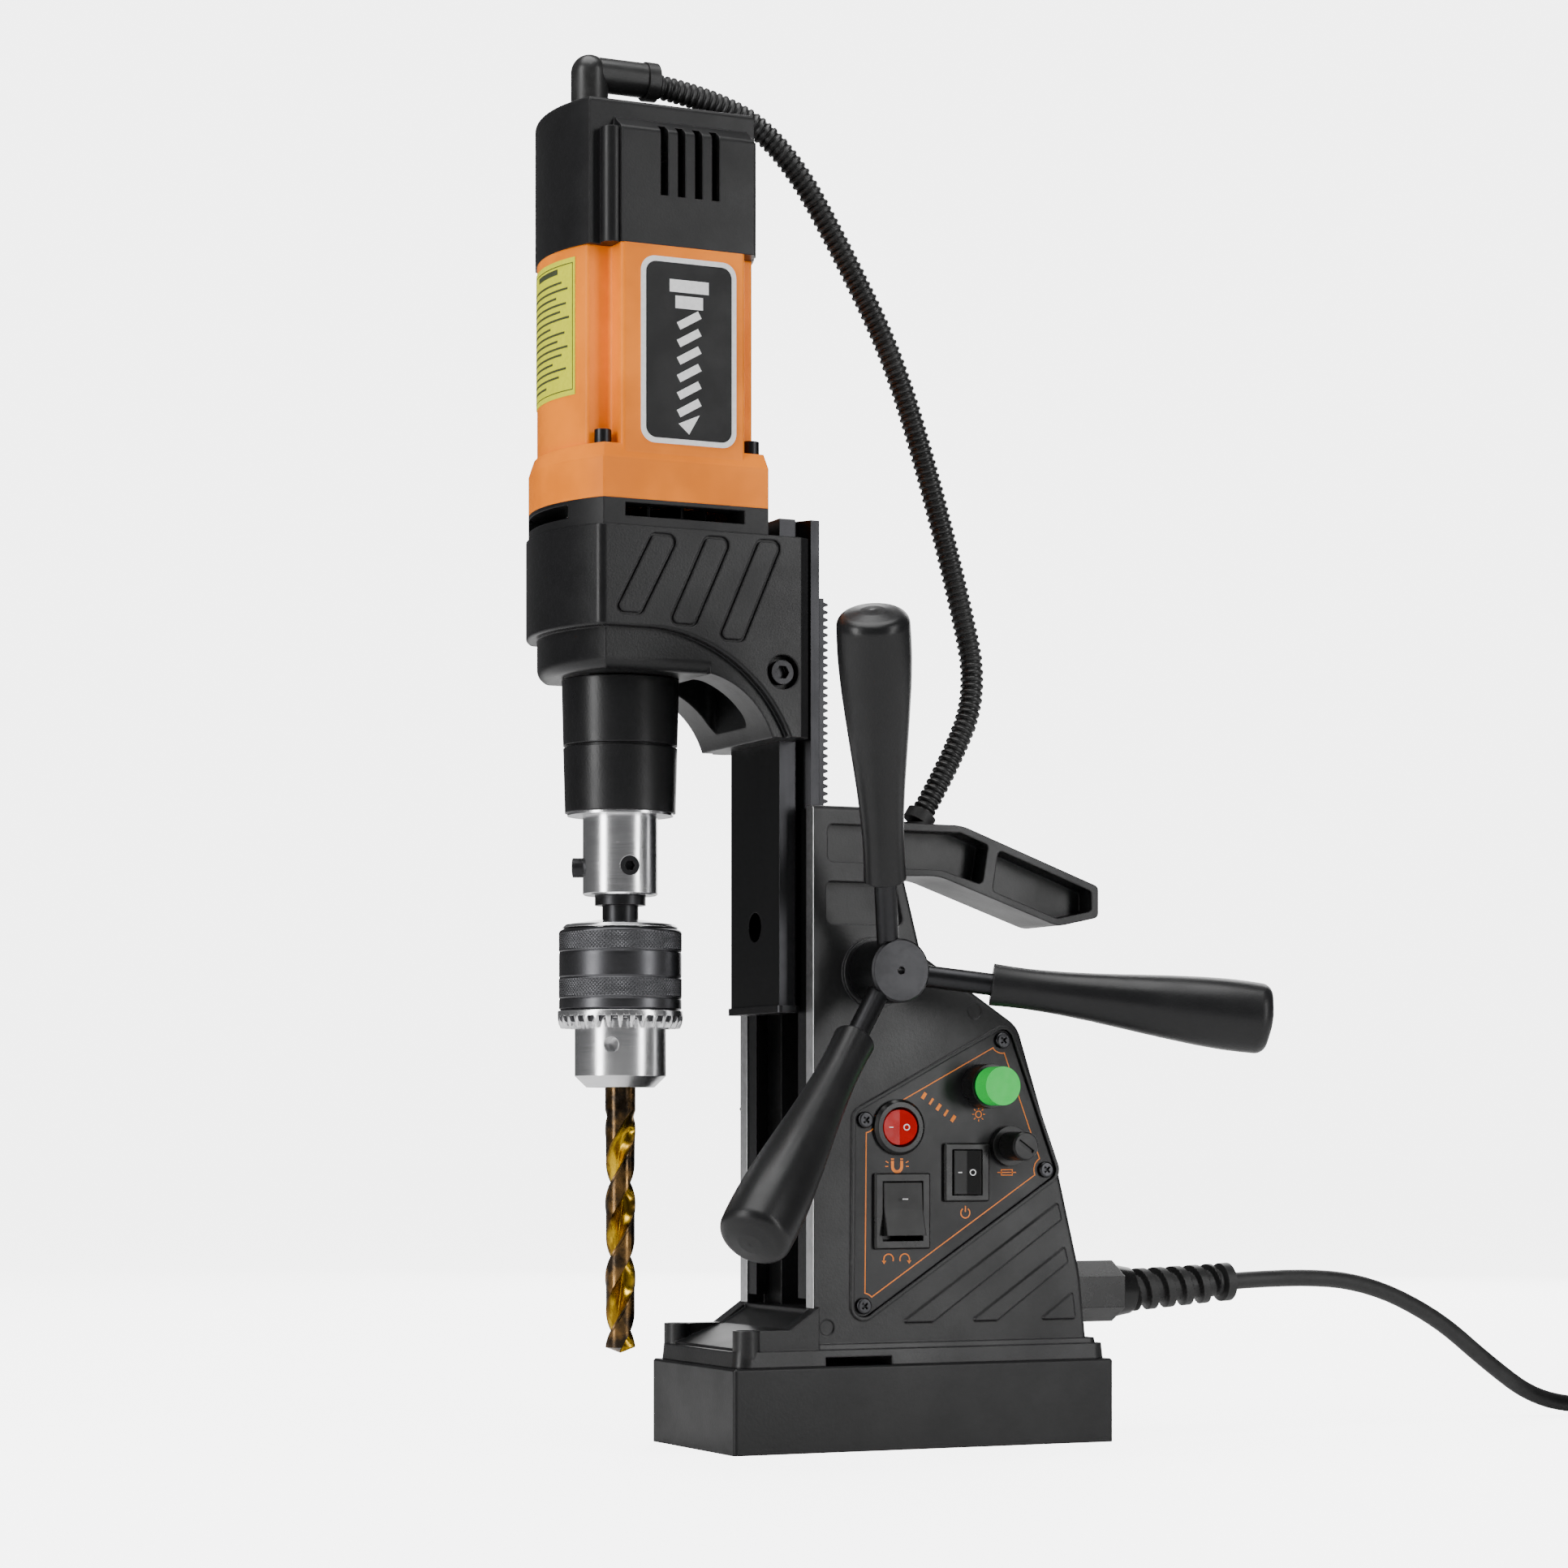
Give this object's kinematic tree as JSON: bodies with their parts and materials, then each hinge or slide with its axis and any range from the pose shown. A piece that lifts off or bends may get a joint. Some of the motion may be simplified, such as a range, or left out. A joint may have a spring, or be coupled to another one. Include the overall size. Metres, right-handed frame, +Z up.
{
  "type": "magnetic drill press",
  "caption": "Magnetic base drill press: switched magnet foot, stand with switch panel, rack-fed slide with a spoked feed handle, geared motor head and keyed chuck with a twist drill.",
  "frame": {"origin": "centre of the magnet's lower face, the face that grips the work", "axes": "+Z up along the spindle axis and the slide, -X towards the spindle, +X towards the mains cable, -Y towards the side with the switches and the feed handle"},
  "size_m": [0.6059, 0.201, 0.5676],
  "materials": {
    "stand_black": "satin powder coat",
    "magnet_steel": "satin",
    "motor_orange": "satin",
    "cover_black": "satin",
    "panel_black": "satin",
    "switch_black": "satin",
    "rocker_red": "satin",
    "rocker_black": "satin",
    "lamp_green": "clear",
    "grip_black": "satin",
    "steel_bright": "turned",
    "steel_dark": "satin",
    "steel_zinc": "satin",
    "slide_steel": "satin",
    "sleeve_dark": "knurled",
    "drill_gold": "satin",
    "conduit_black": "satin",
    "cable_rubber": "satin",
    "bronze": "satin",
    "copper": "satin",
    "laminations": "satin",
    "potting": "satin",
    "board_green": "satin",
    "carbon": "satin"
  },
  "bodies": {
    "stand": {"magnet_housing": "magnet_steel", "magnet_coil": "copper", "magnet_potting": "potting", "stand_casting": "stand_black", "stand_screws": "steel_dark", "slide_rail": "steel_dark", "gib_strip": "steel_dark", "gib_screws": "steel_dark", "control_panel": "panel_black", "panel_screws": "steel_zinc", "power_switch_frame": "switch_black", "direction_switch_frame": "switch_black", "magnet_switch_bezel": "switch_black", "pilot_lamp_body": "switch_black", "pilot_lamp_lens": "lamp_green", "fuse_holder": "switch_black", "controller_board": "board_green", "pinion_bushes": "bronze", "conduit_grommet": "cable_rubber", "motor_conduit": "conduit_black", "cable_gland": "switch_black", "strain_relief": "cable_rubber", "mains_cable": "cable_rubber", "cable_coil": "cable_rubber", "mains_plug": "cable_rubber"},
    "carriage": {"slide_bar": "slide_steel", "rack": "slide_steel", "slide_stop": "steel_dark", "gearbox_housing": "stand_black", "head_screws": "steel_dark", "vent_ring": "cover_black", "motor_housing": "motor_orange", "motor_end_cover": "cover_black", "cable_elbow": "conduit_black", "stator": "laminations", "brush_holders": "carbon", "bearings": "steel_bright"},
    "feed_handle": {"feed_pinion": "steel_bright", "feed_hub": "steel_dark", "lever_rods": "steel_dark", "lever_grips": "grip_black"},
    "spindle": {"spindle_sleeve": "stand_black", "spindle_gear": "steel_dark", "arbor": "steel_bright", "arbor_set_screws": "steel_dark", "chuck_adapter": "steel_dark", "chuck_body": "steel_bright", "drill_bit": "drill_gold"},
    "countershaft": {"countershaft": "steel_dark"},
    "armature": {"armature_shaft": "steel_bright", "rotor_core": "laminations", "cooling_fan": "cover_black"},
    "chuck_sleeve": {"chuck_sleeve": "sleeve_dark"},
    "jaw_1": {"chuck_jaw_1": "steel_dark"},
    "jaw_2": {"chuck_jaw_2": "steel_dark"},
    "jaw_3": {"chuck_jaw_3": "steel_dark"},
    "magnet_rocker": {"magnet_rocker": "rocker_red"},
    "power_rocker": {"power_rocker": "rocker_black"},
    "direction_rocker": {"direction_rocker": "rocker_black"},
    "fuse_cap": {"fuse_cap": "switch_black"}
  },
  "joints": [
    {"name": "feed_slide", "type": "slide", "parent": "stand", "child": "carriage", "axis": [0, 0, -1], "range_m": [0, 0.11], "deforming": ["motor_conduit"]},
    {"name": "feed_turn", "type": "hinge", "parent": "stand", "child": "feed_handle", "pos_m": [-0.022, 0, 0.1955], "axis": [0, -1, 0], "range_deg": [-1, 789]},
    {"name": "spindle_turn", "type": "hinge", "parent": "carriage", "child": "spindle", "pos_m": [-0.1195, 0, 0.3], "axis": [0, 0, 1], "continuous": true},
    {"name": "countershaft_turn", "type": "hinge", "parent": "carriage", "child": "countershaft", "pos_m": [-0.087, 0, 0.34], "axis": [0, 0, 1], "continuous": true},
    {"name": "armature_turn", "type": "hinge", "parent": "carriage", "child": "armature", "pos_m": [-0.107, 0, 0.42], "axis": [0, 0, 1], "continuous": true},
    {"name": "chuck_turn", "type": "hinge", "parent": "spindle", "child": "chuck_sleeve", "pos_m": [-0.1195, 0, 0.19], "axis": [0, 0, 1], "range_deg": [0, 1440]},
    {"name": "jaw_1_slide", "type": "slide", "parent": "spindle", "child": "jaw_1", "axis": [0.1061, -0.2174, 0.9703], "range_m": [0, 0.00702]},
    {"name": "jaw_2_slide", "type": "slide", "parent": "spindle", "child": "jaw_2", "axis": [0.1353, 0.2006, 0.9703], "range_m": [0, 0.00702]},
    {"name": "jaw_3_slide", "type": "slide", "parent": "spindle", "child": "jaw_3", "axis": [-0.2413, 0.0169, 0.9703], "range_m": [0, 0.00702]},
    {"name": "magnet_switch", "type": "hinge", "parent": "stand", "child": "magnet_rocker", "pos_m": [-0.0107, -0.0341, 0.1322], "axis": [0, 0, 1], "range_deg": [0, 16]},
    {"name": "power_switch", "type": "hinge", "parent": "stand", "child": "power_rocker", "pos_m": [0.0205, -0.0341, 0.1135], "axis": [0, 0, 1], "range_deg": [0, 16]},
    {"name": "direction_switch", "type": "hinge", "parent": "stand", "child": "direction_rocker", "pos_m": [-0.0094, -0.0341, 0.0977], "axis": [1, 0, 0], "range_deg": [0, 20]},
    {"name": "fuse_cap_turn", "type": "hinge", "parent": "stand", "child": "fuse_cap", "pos_m": [0.0406, -0.04, 0.1244], "axis": [0, 1, 0], "range_deg": [0, 90]}
  ],
  "couplings": [
    {"joint": "feed_turn", "follows": "feed_slide", "rad_per_m": 125},
    {"joint": "countershaft_turn", "follows": "spindle_turn", "ratio": -3},
    {"joint": "armature_turn", "follows": "spindle_turn", "ratio": 9},
    {"joint": "jaw_1_slide", "follows": "chuck_turn", "m_per_rad": 0.00027852},
    {"joint": "jaw_2_slide", "follows": "chuck_turn", "m_per_rad": 0.00027852},
    {"joint": "jaw_3_slide", "follows": "chuck_turn", "m_per_rad": 0.00027852}
  ]
}
